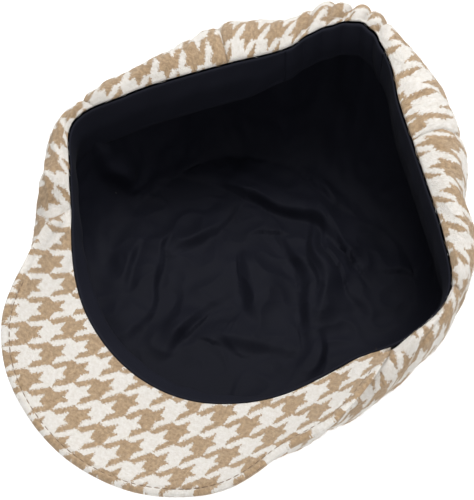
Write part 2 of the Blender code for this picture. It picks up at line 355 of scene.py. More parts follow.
wool = {
    "repeatAcross": 0.0137,  # the houndstooth's repeat along the weft
    "repeatAlong": 0.0175,  # and along the warp
    "tan": (0.560, 0.400, 0.245, 1.0),
    "tanDeep": (0.270, 0.172, 0.090, 1.0),
    "offWhite": (0.845, 0.820, 0.785, 1.0),
    "offWhiteWarm": (0.700, 0.650, 0.580, 1.0),
    "wobble": 0.0007,  # how far the cloth's stars stray from a true grid
    "fray": 0.0019,  # how far the brushed fibres drag the colours over each other
    "roughness": 0.95,
    "threadBump": 0.5,
    "napBump": 0.80,
}


def houndstoothWool():
    made, tree, shader = newMaterial("houndstooth_wool")
    place = clothPlace(tree)
    slow = speckle(tree, place, 110, 1.0)[1]
    fine = speckle(tree, place, 1400, 3.0, 0.7)[1]
    stray = vectorCalc(tree, "SUBTRACT", slow, (0.5, 0.5, 0.5))
    hairs = vectorCalc(tree, "SUBTRACT", fine, (0.5, 0.5, 0.5))
    moved = vectorCalc(tree, "ADD", place, vectorCalc(tree, "MULTIPLY", stray, (wool["wobble"] * 2,) * 3))
    moved = vectorCalc(tree, "ADD", moved, vectorCalc(tree, "MULTIPLY", hairs, (wool["fray"] * 2,) * 3))
    apart = tree.nodes.new("ShaderNodeSeparateXYZ")
    tree.links.new(moved, apart.inputs[0])
    warp = calc(tree, "MULTIPLY", apart.outputs["X"], 8 / wool["repeatAcross"])  # counted in eighths
    weft = calc(tree, "MULTIPLY", apart.outputs["Y"], 8 / wool["repeatAlong"])
    warpTan = calc(tree, "LESS_THAN", calc(tree, "FRACT", calc(tree, "DIVIDE", warp, 8)), 0.5)
    weftTan = calc(tree, "LESS_THAN", calc(tree, "FRACT", calc(tree, "DIVIDE", weft, 8)), 0.5)
    # The two sets of threads change places along the twill line, in steps of half an eighth
    steps = calc(tree, "ADD", calc(tree, "SNAP", warp, 0.5), calc(tree, "SNAP", weft, 0.5))
    turn = calc(tree, "FRACT", calc(tree, "DIVIDE", calc(tree, "ADD", steps, 2.5), 4))
    warpTop = calc(tree, "LESS_THAN", turn, 0.5)
    tanHere = calc(tree, "MULTIPLY_ADD", calc(tree, "SUBTRACT", warpTan, weftTan), warpTop, weftTan)
    mottle = speckle(tree, place, 620, 4.0, 0.7)[0]
    mottle = calc(tree, "MULTIPLY_ADD", mottle, 2.4, -0.7)
    mottle.node.use_clamp = True
    tanCloth = blendColours(tree, mottle, wool["tan"], wool["tanDeep"])
    whiteCloth = blendColours(tree, mottle, wool["offWhite"], wool["offWhiteWarm"])
    tree.links.new(blendColours(tree, tanHere, whiteCloth, tanCloth), shader.inputs["Base Color"])
    # Two fine threads to each eighth: the ones on top are the ones that show as ridges
    warpRidge = calc(tree, "PINGPONG", warp, 0.25)
    weftRidge = calc(tree, "PINGPONG", weft, 0.25)
    ridge = calc(tree, "MULTIPLY_ADD", calc(tree, "SUBTRACT", warpRidge, weftRidge), warpTop, weftRidge)
    threads = bump(tree, ridge, wool["threadBump"], 0.0008)
    nap = speckle(tree, place, 900, 6.0, 0.75)[0]
    tree.links.new(bump(tree, nap, wool["napBump"], 0.0012, threads), shader.inputs["Normal"])
    shader.inputs["Roughness"].default_value = wool["roughness"]
    shader.inputs["Specular IOR Level"].default_value = 0.15
    shader.inputs["Sheen Weight"].default_value = 0.25
    shader.inputs["Sheen Roughness"].default_value = 0.6
    return made


liningFinish = {
    "navy": (0.0044, 0.0050, 0.0080, 1.0),
    "navyLight": (0.0074, 0.0078, 0.0142, 1.0),
    "roughness": 0.72,
    "threadPitch": 0.00045,
}


def darkCloth(name, dark, light, roughness, pitch, slant, ribDepth):
    made, tree, shader = newMaterial(name)
    place = clothPlace(tree)
    patches = speckle(tree, place, 60, 3.0)[0]
    grain = speckle(tree, place, 1600, 3.0, 0.7)[0]
    share = calc(tree, "ADD", calc(tree, "MULTIPLY", patches, 0.6), calc(tree, "MULTIPLY", grain, 0.4))
    tree.links.new(blendColours(tree, share, dark, light), shader.inputs["Base Color"])
    apart = tree.nodes.new("ShaderNodeSeparateXYZ")
    tree.links.new(place, apart.inputs[0])
    along = calc(tree, "MULTIPLY_ADD", apart.outputs["Y"], slant, apart.outputs["X"])
    ribs = calc(tree, "PINGPONG", along, pitch / 2)
    ribs = calc(tree, "MULTIPLY", ribs, 2 / pitch)
    weave = bump(tree, ribs, 0.35, ribDepth)
    tree.links.new(bump(tree, grain, 0.3, 0.0003, weave), shader.inputs["Normal"])
    shader.inputs["Roughness"].default_value = roughness
    shader.inputs["Specular IOR Level"].default_value = 0.10
    shader.inputs["Sheen Weight"].default_value = 0.01
    shader.inputs["Sheen Roughness"].default_value = 0.4
    return made


def threadFinish():
    made, tree, shader = newMaterial("stitch_thread")
    coordinate = tree.nodes.new("ShaderNodeTexCoord")
    tone = speckle(tree, coordinate.outputs["Object"], 900, 3.0)[0]
    colour = blendColours(tree, tone, (0.15, 0.095, 0.055, 1.0), (0.30, 0.205, 0.125, 1.0))
    tree.links.new(colour, shader.inputs["Base Color"])
    shader.inputs["Roughness"].default_value = 0.7
    return made


# Walls of cloth are two mapped grids whose borders are joined
def addSheet(mesh, columns, rows, place, napped):
    clothMap = mesh.loops.layers.uv.verify()
    outside = mesh.faces.layers.int["outside"]
    spotOf = mesh.verts.layers.float_vector["spot"]
    grid = bmesh.ops.create_grid(mesh, x_segments=columns, y_segments=rows, size=0.5)
    for corner in grid["verts"]:
        column = round((corner.co.x + 0.5) * columns)
        row = round((0.5 - corner.co.y) * rows)
        corner.co, spot = place(column, row)
        corner[spotOf] = (spot[0], spot[1], 0.0)
    faces = {face for corner in grid["verts"] for face in corner.link_faces}
    for face in faces:
        face[outside] = napped(face)
        for loop in face.loops:
            loop[clothMap].uv = loop.vert[spotOf].xy
    bmesh.ops.remove_doubles(mesh, verts=grid["verts"], dist=1e-6)


def bare(face):
    return 0


def aboveFloor(face):
    return int(min(corner.co.z for corner in face.verts) > nap["floorGap"])


def addWall(name, columns, rows, outer, inner, finish, napped=(bare, bare)):
    mesh = bmesh.new()
    mesh.loops.layers.uv.new("cloth")
    mesh.verts.layers.float_vector.new("spot")
    mesh.faces.layers.int.new("outside")
    outerRows, innerRows = rows if isinstance(rows, tuple) else (rows, rows)
    addSheet(mesh, columns, outerRows, outer, napped[0])
    addSheet(mesh, columns, innerRows, inner, napped[1])
    borders = [edge for edge in mesh.edges if edge.is_boundary]
    bridge = bmesh.ops.bridge_loops(mesh, edges=borders)
    clothMap = mesh.loops.layers.uv["cloth"]
    spotOf = mesh.verts.layers.float_vector["spot"]
    for face in bridge["faces"]:
        for loop in face.loops:
            loop[clothMap].uv = loop.vert[spotOf].xy
    bmesh.ops.recalc_face_normals(mesh, faces=mesh.faces)
    return finishMesh(mesh, name, finish)


def finishMesh(mesh, name, finish):
    data = bpy.data.meshes.new(name)
    mesh.to_mesh(data)
    mesh.free()
    data.shade_smooth()
    data.materials.append(finish)
    made = bpy.data.objects.new(name, data)
    bpy.context.collection.objects.link(made)
    return made


def dress(piece, slot, *nodes):
    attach(piece, "root")
    if nodes:
        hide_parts(*nodes)
    print(piece.name, "made")


# The crown's eight panels
crown = {
    "seams": [0, 47, 92, 138, 182, 218, 260, 306],  # bearings at which the panels meet
    "columnsPerDegree": 1.35,
    "gatherColumnsPerDegree": 2.6,
    "wallRows": 64,
    "baseRows": 26,
    "tipRadius": 0.0008,
    "pillow": 0.0022,
    "seamDip": 0.0011,  # how far the cloth turns in at a seam
    "seamHalfWidth": 0.0019,
    "seamGap": 0.0001,
    "wrinkle": 0.0008,
    "slantWrinkle": 0.0011,  # long folds that run slanting from the rim
    "lip": 0.6,
}

phaseRow = namedtuple("phaseRow", "across along turn")
clothPhases = [  # where each panel's cloth was cut, in repeats, and how its grain is turned in degrees
    phaseRow(0.10, 0.30, 0.0),
    phaseRow(0.35, 0.55, 8.0),
    phaseRow(0.20, 0.46, 10.0),
    phaseRow(0.55, 0.48, 6.0),
    phaseRow(0.05, 0.70, -4.0),
    phaseRow(0.45, 0.78, -7.0),
    phaseRow(0.80, 0.62, -5.0),
    phaseRow(0.60, 0.20, 0.0),
]


def pillow(across, share):
    down = smooth(share / 0.5) * smooth((2.0 - share) / 0.6)
    return crown["pillow"] * (1 - abs(2 * across - 1) ** 3) * down


def panelBearings(start, end):
    bearings = [float(start)]
    while bearings[-1] < end - 1e-6:
        turn = gatherTurn(bearings[-1])
        step = 1 / crown["gatherColumnsPerDegree" if -0.1 < turn < 1.1 else "columnsPerDegree"]
        bearings.append(bearings[-1] + step)
    count = len(bearings) - 1
    stretch = (end - start) / (bearings[-1] - start)
    return [start + (bearings[i] - start) * stretch for i in range(count + 1)]


def crownShares():
    wall = [2.0 * i / crown["wallRows"] for i in range(crown["wallRows"])]
    tip = 3.0 - crown["tipRadius"] / capForm["baseReach"]
    base = [2.0 + (tip - 2.0) * i / crown["baseRows"] for i in range(crown["baseRows"] + 1)]
    return wall + base


def clothWrinkle(point, bearing, share):
    calm = smooth((1.9 - share) / 0.5)
    broad = noise.noise(point * 38)
    small = noise.noise(point * 95 + Vector((3.1, 0.0, 0.0)))
    around = bearing * 0.09 + share * 1.9
    slanting = noise.noise(Vector((around * 1.6, share * 0.8 - bearing * 0.012, 5.3)))
    folds = crown["slantWrinkle"] * (1 - 2.2 * abs(slanting)) * smooth(share / 0.35)
    return (crown["wrinkle"] * (broad + 0.45 * small) + folds) * calm


def addCrownPanel(index, finish):
    seams = crown["seams"]
    start = seams[index]
    end = seams[(index + 1) % len(seams)]
    if end <= start:
        end += 360
    bearings, shares = panelBearings(start, end), crownShares()
    columns, rows = len(bearings) - 1, len(shares) - 1
    cloth, phase = capForm["cloth"], clothPhases[index]
    # The flat cut: how wide the panel is at each row, and how far each row lies from the rim
    middle = bearings[columns // 2]
    rests = [[form(b, share, cloth) for b in bearings[::4] + [bearings[-1]]] for share in shares]
    widths = [sum((b - a).length for a, b in zip(row, row[1:])) for row in rests]
    spine = [form(middle, share, cloth) for share in shares]
    lengths = [0.0]
    for a, b in zip(spine, spine[1:]):
        lengths.append(lengths[-1] + (b - a).length)

    def place(column, row, level, outside):
        bearing, share = bearings[column], shares[row]
        across = (bearing - start) / (end - start)
        if outside:
            rest = form(bearing, share, cloth)
            toSeam = min(across, 1 - across) * widths[row]
            dip = crown["seamDip"] * math.exp(-((toSeam / crown["seamHalfWidth"]) ** 2))
            dip *= smooth((2.15 - share) / 0.3)
            level += pillow(across, share) + clothWrinkle(rest, bearing, share) - dip
            gather = gathers["depth"] * (gatherWave(bearing) - 1)
            turn = gatherTurn(bearing)
            edgeFade = smooth(turn / 0.1) * smooth((1 - turn) / 0.1) if 0 < turn < 1 else 0.0
            level += gather * edgeFade * (1 - smooth(share / 1.7)) * (0.35 + 0.65 * smooth(share / 0.15))
        if row == 0:
            level += crown["lip"] * (cloth / 2 - level)
        side = direction(bearing + 90) * crown["seamGap"] / 2 * (1 - 2 * across)
        spot = Matrix.Rotation(math.radians(phase.turn), 2) @ Vector(((across - 0.5) * widths[row], lengths[row]))
        shift = Vector((phase.across * wool["repeatAcross"], phase.along * wool["repeatAlong"]))
        return form(bearing, share, level) + side, spot + shift

    piece = addWall(
        f"crown_cloth_{index + 1}",
        columns,
        rows,
        lambda column, row: place(column, row, cloth, True),
        lambda column, row: place(column, row, 0.0, False),
        finish,
        (aboveFloor, bare),
    )
    dress(piece, "houndstooth_wool", f"crown_panel_{index + 1}")
    return piece


# The peak, its cover and the line of stitches near its edge
peakCloth = {
    "grainTurn": 4.8,  # degrees by which the cover's grain is turned from the cap's own axes
    "starAcross": -0.0507,  # a white star's middle, from the crown's centre
    "starAlong": 0.0881,
}


def peakSurface(bearing, share):
    root = at(bearing, openingReach(bearing), rimHeight(bearing))
    edge = at(bearing, peakForm["reach"] * edgeShare(bearing), 0.0)
    across = (edge.x - centre.x) / peakForm["halfWidth"]
    edge.z = peakForm["edgeHeight"] + peakForm["curl"] * across**2
    edge.z = mix(root.z, edge.z, smooth(insidePeak(bearing) / peakForm["endEase"]))
    point = root.lerp(edge, share)
    point.z -= peakForm["sag"] * 4 * share * (1 - share)
    return point


def peakNormal(bearing, share):  # turned upright at the thin ends
    before = peakSurface(max(bearing - 0.5, peakStart), share)
    after = peakSurface(min(bearing + 0.5, peakEnd), share)
    outward = peakSurface(bearing, share + 0.01) - peakSurface(bearing, share - 0.01)
    normal = outward.cross(after - before).normalized()
    return Vector((0.0, 0.0, 1.0)).lerp(normal, smooth(insidePeak(bearing) / 9.0)).normalized()


def peakSpot(point):  # where a point of the peak lies on its flat cover
    x, along = point.x - centre.x, centre.y - point.y
    bend = 2 * peakForm["curl"] / peakForm["halfWidth"] ** 2
    across = x + bend**2 * x**3 / 6 - peakCloth["starAcross"]
    along -= peakCloth["starAlong"]
    turn = math.radians(peakCloth["grainTurn"])
    u = across * math.cos(turn) + along * math.sin(turn)
    v = along * math.cos(turn) - across * math.sin(turn)
    return u + 0.75 * wool["repeatAcross"], v + 0.75 * wool["repeatAlong"]


def hemFullness(inset, bearing):  # how thick the peak still is at a distance from its edge
    middle = smooth((insidePeak(bearing) - 6.0) / 26.0)
    radius = mix(peakForm["endEdgeRadius"], peakForm["edgeRadius"], middle)
    rest = max(0.0, 1 - inset / radius)
    return math.sqrt(1 - rest * rest)


def groove(inset, bearing):
    away = (inset - peakForm["grooveInset"]) / peakForm["grooveWidth"]
    return peakForm["grooveDepth"] * math.exp(-away * away) * smooth((insidePeak(bearing) - 10.0) / 20.0)


def endWrinkle(bearing, inset):  # the cover's small folds where it is pulled in at its ends
    turn = insidePeak(bearing)
    nearEnd = smooth(turn / 5.0) * (1 - smooth((turn - 6.0) / 26.0))
    return peakForm["endWrinkle"] * nearEnd * noise.noise(Vector((bearing / 16, inset * 260, 1.7)))


def addPeak(finish):
    columns = peakForm["columns"]
    bearings = [mix(peakStart, peakEnd, i / columns) for i in range(columns + 1)]
    innerRows, hemRows = peakForm["innerRows"], peakForm["hemRows"]

    def place(column, row, side):
        bearing = bearings[column]
        width = peakForm["reach"] * edgeShare(bearing) - openingReach(bearing)
        hem = min(peakForm["hem"], width / 2)
        if row < innerRows:
            inset = width - (width - hem) * row / innerRows
        else:
            inset = hem * (1 - (row - innerRows) / hemRows) ** 1.4
        share = 1 - inset / width
        wall = peakWall(bearing)
        rest = peakSurface(bearing, share)
        depth = wall / 2 * (1 - side * hemFullness(inset, bearing))
        depth += side * groove(inset, bearing)
        depth -= side * peakForm["undulation"] * noise.noise(rest * 70 + Vector((0, 0, side)))
        depth -= (1 + side) / 2 * endWrinkle(bearing, inset) * hemFullness(inset, bearing)
        if row == 0:
            point = rest - Vector((0, 0, depth))
        else:
            point = rest - peakNormal(bearing, share) * depth
        return point, peakSpot(rest)

    piece = addWall(
        "peak_cover",
        columns,
        innerRows + hemRows,
        lambda column, row: place(column, row, 1),
        lambda column, row: place(column, row, -1),
        finish,
        (aboveFloor, aboveFloor),
    )
    dress(piece, "houndstooth_wool", "peak")
    return piece


stitches = {
    "pitch": 0.0036,
    "length": 0.0029,
    "thread": 0.00050,
    "sunk": 0.00015,  # how far the thread is drawn into the groove
    "startGap": 24.0,  # degrees left bare at the peak's ends
    "endGap": 9.0,
}


def addTopstitch(finish):
    mesh = bmesh.new()
    for side in (1, -1):
        steps = 900
        track = []
        for i in range(steps + 1):
            bearing = mix(peakStart + stitches["startGap"], peakEnd - stitches["endGap"], i / steps)
            width = peakForm["reach"] * edgeShare(bearing) - openingReach(bearing)
            share = 1 - peakForm["grooveInset"] / width
            wall = peakWall(bearing)
            depth = wall / 2 * (1 - side * hemFullness(peakForm["grooveInset"], bearing))
            depth += side * (groove(peakForm["grooveInset"], bearing) + stitches["sunk"] - stitches["thread"] / 2)
            normal = peakNormal(bearing, share)
            track.append((peakSurface(bearing, share) - normal * depth, normal))
        gone, nextAt = 0.0, stitches["pitch"] / 2
        for (a, normal), (b, _) in zip(track, track[1:]):
            gone += (b - a).length
            if gone < nextAt:
                continue
            nextAt += stitches["pitch"]
            run = (b - a).normalized()
            square = run.cross(normal).normalized()
            turn = Matrix((run, square, square.cross(run))).transposed().to_4x4()
            size = Matrix.Diagonal((stitches["length"] / 2, stitches["thread"] / 2, stitches["thread"] / 2, 1))
            matrix = Matrix.Translation(a) @ turn @ size
            bmesh.ops.create_uvsphere(mesh, u_segments=8, v_segments=8, radius=1.0, matrix=matrix)
    bmesh.ops.recalc_face_normals(mesh, faces=mesh.faces)
    piece = finishMesh(mesh, "peak_topstitch", finish)
    dress(piece, "houndstooth_wool")
    return piece


# The lining. Each fold is a crease line with a puff of cloth that leans over it on one side
lining = {
    "columns": 400,
    "wallRows": 52,
    "baseRows": 100,
    "backRows": 40,  # rows of the side that nobody sees
    "stray": 0.0052,  # how far the creases wander off their paths
    "foldScale": 1.5,
    "crinkle": 0.0009,
    "swellNoise": 0.0022,
    "trackSteps": 5,
}

foldRow = namedtuple("foldRow", "height rise run path")
floorFolds = [  # paths as shares of the base's reach, seen from above; rise is how wide the crease's side is
    foldRow(
        0.0050,
        0.0040,
        0.0170,
        [(-0.88, 0.56), (-0.60, 0.64), (-0.36, 0.58), (-0.04, 0.61), (0.15, 0.57), (0.60, 0.44)],
    ),
    foldRow(0.0030, 0.0046, 0.0110, [(-0.34, 0.58), (-0.43, 0.34), (-0.49, 0.12), (-0.62, -0.16)]),
    foldRow(0.0040, 0.0034, 0.0130, [(-0.70, 0.22), (-0.62, -0.12), (-0.53, -0.39), (-0.50, -0.86)]),
    foldRow(0.0044, 0.0052, 0.0120, [(-0.20, 0.46), (0.12, 0.24), (0.28, 0.00), (0.42, -0.36)]),
    foldRow(0.0034, 0.0044, 0.0085, [(0.02, 0.62), (0.17, 0.35), (0.35, 0.09), (0.42, -0.10)]),
    foldRow(0.0024, 0.0030, 0.0080, [(0.10, 0.70), (0.44, 0.47), (0.68, 0.34)]),
    foldRow(0.0028, 0.0030, 0.0090, [(0.08, 0.66), (0.35, 0.35), (0.51, 0.22), (0.76, 0.12)]),
    foldRow(0.0040, 0.0058, 0.0110, [(-0.08, -0.02), (-0.18, -0.36), (-0.24, -0.78)]),
    foldRow(0.0034, 0.0060, 0.0150, [(-0.16, -0.50), (0.10, -0.50), (0.46, -0.36)]),
    foldRow(0.0036, 0.0060, 0.0130, [(-0.26, 0.24), (-0.08, -0.06), (0.10, -0.28)]),
    foldRow(0.0016, 0.0020, 0.0045, [(-0.24, 0.32), (-0.15, 0.42), (-0.04, 0.46)]),
    foldRow(0.0018, 0.0022, 0.0070, [(0.58, 0.50), (0.76, 0.56), (0.95, 0.55)]),
    foldRow(0.0024, 0.0034, 0.0110, [(-0.26, 0.98), (0.08, 0.84), (0.34, 0.80)]),
    foldRow(0.0026, 0.0050, 0.0120, [(0.50, -0.05), (0.62, -0.30), (0.66, -0.55)]),
    foldRow(0.0022, 0.0046, 0.0100, [(-0.80, 0.05), (-0.78, -0.25), (-0.70, -0.50)]),
]
wallFolds = [  # paths as bearings and shares
    foldRow(0.0056, 0.0042, 0.0110, [(262, 1.05), (263, 1.40), (258, 1.68), (249, 1.84), (239, 1.88)]),
    foldRow(0.0032, 0.0050, 0.0120, [(244, 0.75), (236, 0.60), (226, 0.55)]),
    foldRow(0.0020, 0.0050, 0.0100, [(150, 0.70), (146, 1.20), (140, 1.70)]),
    foldRow(0.0018, 0.0050, 0.0090, [(116, 0.60), (112, 1.10), (110, 1.60)]),
    foldRow(0.0022, 0.0050, 0.0090, [(205, 0.80), (207, 1.20), (211, 1.65)]),
    foldRow(0.0020, 0.0050, 0.0100, [(300, 0.80), (306, 1.25), (312, 1.70)]),
]

lightSide = Vector((-0.45, 0.89, 0.0))  # the side the key light is on, where the puffs stand


def rounded(points):  # a smooth curve through a fold's points
    padded = [points[0] * 2 - points[1], *points, points[-1] * 2 - points[-2]]
    steps, curve = lining["trackSteps"], []
    for p0, p1, p2, p3 in zip(padded, padded[1:], padded[2:], padded[3:]):
        for i in range(steps):
            t = i / steps
            tangents = (p2 - p0) / 2, (p3 - p1) / 2
            curve.append(
                p1 * (2 * t**3 - 3 * t**2 + 1)
                + tangents[0] * (t**3 - 2 * t**2 + t)
                + p2 * (3 * t**2 - 2 * t**3)
                + tangents[1] * (t**3 - t**2)
            )
    return curve + [points[-1]]


def foldTracks():
    tracks = []
    reach = capForm["baseReach"]
    for fold in floorFolds:
        points = [centre + Vector((x * reach, y * reach, capForm["cloth"])) for x, y in fold.path]
        tracks.append((fold, rounded(points)))
    for fold in wallFolds:
        tracks.append((fold, rounded([form(bearing, share, 0.0) for bearing, share in fold.path])))
    return tracks


def trackShape(fold, points):  # a fold's own legs, sides and outer ball, worked out once
    legs, gone, lit = [], 0.0, 0.0
    whole = sum((b - a).length for a, b in zip(points, points[1:]))
    for a, b in zip(points, points[1:]):
        run = b - a
        middle = (a + b) / 2 - centre
        inward = Vector((0.0, 0.0, 1.0)) if middle.z < 0.006 else -Vector((middle.x, middle.y, 0.0)).normalized()
        side = run.cross(inward).normalized()
        lit += side.dot(lightSide + Vector((0.0, 0.0, 0.6))) * run.length
        legs.append((a, run, run.length, side, gone / whole))
        gone += run.length
    if lit < 0:
        legs = [(a, run, length, -side, before) for a, run, length, side, before in legs]
    ball = sum(points, Vector()) / len(points)
    size = max((point - ball).length for point in points) + fold.run * 2.2
    return fold, legs, whole, ball, size


def puff(track, point):
    fold, legs, whole, ball, size = track
    if (point - ball).length > size:
        return 0.0
    best = None
    for a, run, length, side, before in legs:
        share = min(max((point - a).dot(run) / (length * length), 0.0), 1.0)
        away = point - a - run * share
        gap = away.length
        if best is None or gap < best[0]:
            best = (gap, math.copysign(gap, away.dot(side)), before + share * length / whole)
    gap, signedGap, along = best
    taper = smooth(along / 0.5 + 0.12) * smooth((1 - along) / 0.5 + 0.12)
    taper *= 0.8 + 0.5 * noise.noise(point * 60)
    rise = fold.rise * (0.75 + 0.5 * along + 0.5 * noise.noise(point * 45 + Vector((0.0, 2.0, 0.0))))
    if signedGap < 0:
        return -0.16 * fold.height * taper * math.exp(-((signedGap / rise) ** 2))
    back = max(signedGap - rise, 0.0) / fold.run
    step = smooth(signedGap / rise)
    return fold.height * taper * (step * math.exp(-back * back) - 0.16 * (1 - step))


def liningDrape(tracks, point, share):
    height = 0.0
    strayed = point + noise.noise_vector(point * 42) * lining["stray"]
    for track in tracks:
        height += puff(track, strayed) * lining["foldScale"]
    soft = noise.noise(point * 32 + Vector((7.0, 0.0, 0.0)))
    crinkle = 1 - 2.4 * abs(noise.noise(point * 85 + Vector((0.0, 4.0, 0.0))))
    return height + (lining["swellNoise"] * soft + lining["crinkle"] * crinkle) * smooth(share / 0.7)


def addLining(finish):
    columns = lining["columns"]
    bearings = [360.0 * i / columns for i in range(columns)] + [0.0]
    wallRows, baseRows, backRows = lining["wallRows"], lining["baseRows"], lining["backRows"]
    shares = [2.0 * i / wallRows for i in range(wallRows)]
    shares += [2.0 + i / baseRows for i in range(baseRows + 1)]
    backShares = [3.0 * i / backRows for i in range(backRows + 1)]
    top = -capForm["gap"]
    tracks = [trackShape(fold, points) for fold, points in foldTracks()]

    def spot(point):
        away = point - centre
        return away.x + away.z * 0.7, away.y

    def seen(column, row):
        bearing, share = bearings[column], shares[row]
        rest = form(bearing, share, 0.0)
        lift = max(liningDrape(tracks, rest, share), -0.0001 - 0.0003 * smooth(share))
        return form(bearing, share, top - capForm["liningWall"] - lift), spot(rest)

    def hidden(column, row):
        bearing, share = bearings[column], backShares[row]
        rest = form(bearing, share, top)
        return rest, spot(rest)

    piece = addWall("lining_cloth", columns, (backRows, len(shares) - 1), hidden, seen, finish)
    dress(piece, "navy_lining", "lining")
    return piece


# The band round the inside of the rim, and the gathered casing at the centre back
slopeRow = namedtuple("slopeRow", "bearing slope")
bandSlope = [  # how steeply the band goes down from the rim, in degrees
    slopeRow(0, 36),
    slopeRow(35, 56),
    slopeRow(62, 72),
    slopeRow(90, 80),
    slopeRow(180, 86),
    slopeRow(270, 79),
    slopeRow(290, 74),
    slopeRow(315, 50),
]

band = {
    "width": 0.028,
    "wall": 0.0012,
    "ripple": 0.0009,
    "perDegree": 1.1,
    "rows": 30,
    "lipRise": 0.0006,  # how far the band's top edge stands above the rim's seam
    "seamGap": 0.00008,
    "rollStart": 0.0075,  # where the band turns down, from its top edge
    "rollLength": 0.0080,
    "rollSlope": 96.0,
    "fullness": 1.0,
    "held": "folded",
}
casing = {
    "width": 0.022,
    "wall": 0.0018,
    "ripple": 0.0008,
    "perDegree": 5.0,
    "rows": 24,
    "fullness": 1.3,  # how much longer the cloth is than the stretch it is gathered into
    "held": "gathered",
}


def bandProfile(bearing, width, rows):  # how far in and down each row lies
    start = between(bandSlope, bearing, "slope")
    inward, down, profile = 0.0, -band["lipRise"], []
    step = (width + band["lipRise"]) / rows
    for row in range(rows + 1):
        turned = smooth((row * step - band["rollStart"]) / band["rollLength"])
        slope = math.radians(mix(start, max(start, band["rollSlope"]), turned))
        profile.append((inward, down, slope))
        inward += step * math.cos(slope)
        down += step * math.sin(slope)
    return profile


def addBand(name, strip, start, end, ripple, finish, node):
    columns = round((end - start) * strip["perDegree"])
    bearings = [mix(start, end, i / columns) for i in range(columns + 1)]
    rows = strip["rows"]
    # The broad band narrows to the casing's width where the two meet
    ends = [min(bearing - start, end - bearing) for bearing in bearings]
    widths = [mix(casing["width"], strip["width"], smooth(away / 16.0)) for away in ends]
    profiles = [bandProfile(bearing, width, rows) for bearing, width in zip(bearings, widths)]

    def place(column, row, level):
        bearing, share = bearings[column], row / rows
        inward, down, slope = profiles[column][row]
        if row in (0, rows):
            level = mix(strip["wall"] / 2, level, 0.4)
        elif level > 0:
            level = mix(level, level * 0.3, share**2) + ripple(bearing, share)
        reach = openingReach(bearing) - band["seamGap"] - inward - level * math.sin(slope)
        height = rimHeight(bearing) - down + level * math.cos(slope)
        spot = (math.radians(bearing) * capForm["crownReach"], down)
        return at(bearing, reach, height - strip["wall"] * math.cos(slope)), spot

    piece = addWall(
        name,
        columns,
        rows,
        lambda column, row: place(column, row, 0.0),
        lambda column, row: place(column, row, strip["wall"]),
        finish,
    )
    dress(piece, "navy_band", node)
    rim = [at(bearing, openingReach(bearing), rimHeight(bearing)) for bearing in bearings]
    return piece


def bandRipple(bearing, share):
    return band["ripple"] * noise.noise(Vector((bearing / 7, share * 1.8, 0.0))) * smooth(share / 0.4)


def casingRipple(bearing, share):
    fade = smooth(min(share, 1 - share) / 0.2)
    return casing["ripple"] * (gatherWave(bearing) - 0.6) * fade


# The brushed wool's nap: short bent fibres that lie on the cloth in every direction
nap = {
    "crownFibres": 260000.0,  # to a square metre
    "peakFibres": 650000.0,
    "length": 0.0036,
    "thickness": 0.00010,
    "rise": 0.00050,
    "curl": 0.0007,
    "lean": 0.10,  # radians by which a fibre stands off the cloth at most
    "floorGap": 0.004,  # no fibres below this height, where the crown lies on the floor
}


def addStrand():
    mesh = bmesh.new()
    bmesh.ops.create_uvsphere(mesh, u_segments=3, v_segments=3, radius=1.0)
    for corner in mesh.verts:
        along, thick = corner.co.z, nap["thickness"] / 2
        bow = 1 - along * along
        sideways = nap["curl"] * bow * along + nap["curl"] * 0.5 * bow
        corner.co = (along * nap["length"] / 2, corner.co.x * thick + sideways, corner.co.y * thick + nap["rise"] * bow)
    bmesh.ops.recalc_face_normals(mesh, faces=mesh.faces)
    data = bpy.data.meshes.new("nap_strand")
    mesh.to_mesh(data)
    mesh.free()
    return bpy.data.objects.new("nap_strand", data)


def napTree(strand, density, seed):
    tree = bpy.data.node_groups.new("nap", "GeometryNodeTree")
    tree.interface.new_socket("Geometry", in_out="INPUT", socket_type="NodeSocketGeometry")
    tree.interface.new_socket("Geometry", in_out="OUTPUT", socket_type="NodeSocketGeometry")
    add, join = tree.nodes.new, tree.links.new
    cloth, made = add("NodeGroupInput"), add("NodeGroupOutput")
    outside = add("GeometryNodeInputNamedAttribute")
    outside.data_type = "INT"
    outside.inputs["Name"].default_value = "outside"
    scatter = add("GeometryNodeDistributePointsOnFaces")
    scatter.inputs["Density"].default_value = density
    scatter.inputs["Seed"].default_value = seed
    turn = add("FunctionNodeRandomValue")
    turn.data_type = "FLOAT_VECTOR"
    turn.inputs[0].default_value = (-nap["lean"], -nap["lean"], -math.pi)
    turn.inputs[1].default_value = (nap["lean"], nap["lean"], math.pi)
    turn.inputs["Seed"].default_value = seed
    euler, rotate = add("FunctionNodeEulerToRotation"), add("FunctionNodeRotateRotation")
    rotate.rotation_space = "LOCAL"
    size = add("FunctionNodeRandomValue")
    size.data_type = "FLOAT"
    size.inputs[2].default_value = 0.45
    size.inputs[3].default_value = 1.25
    size.inputs["Seed"].default_value = seed + 1
    source, place, realise = add("GeometryNodeObjectInfo"), add("GeometryNodeInstanceOnPoints"), None
    source.inputs["Object"].default_value = strand
    realise = add("GeometryNodeRealizeInstances")
    join(cloth.outputs[0], scatter.inputs["Mesh"])
    join(outside.outputs["Attribute"], scatter.inputs["Selection"])
    join(scatter.outputs["Points"], place.inputs["Points"])
    join(source.outputs["Geometry"], place.inputs["Instance"])
    join(turn.outputs[0], euler.inputs[0])
    join(scatter.outputs["Rotation"], rotate.inputs[0])
    join(euler.outputs[0], rotate.inputs[1])
    join(rotate.outputs[0], place.inputs["Rotation"])
    join(size.outputs[1], place.inputs["Scale"])
    join(place.outputs["Instances"], realise.inputs[0])
    join(realise.outputs[0], made.inputs[0])
    return tree


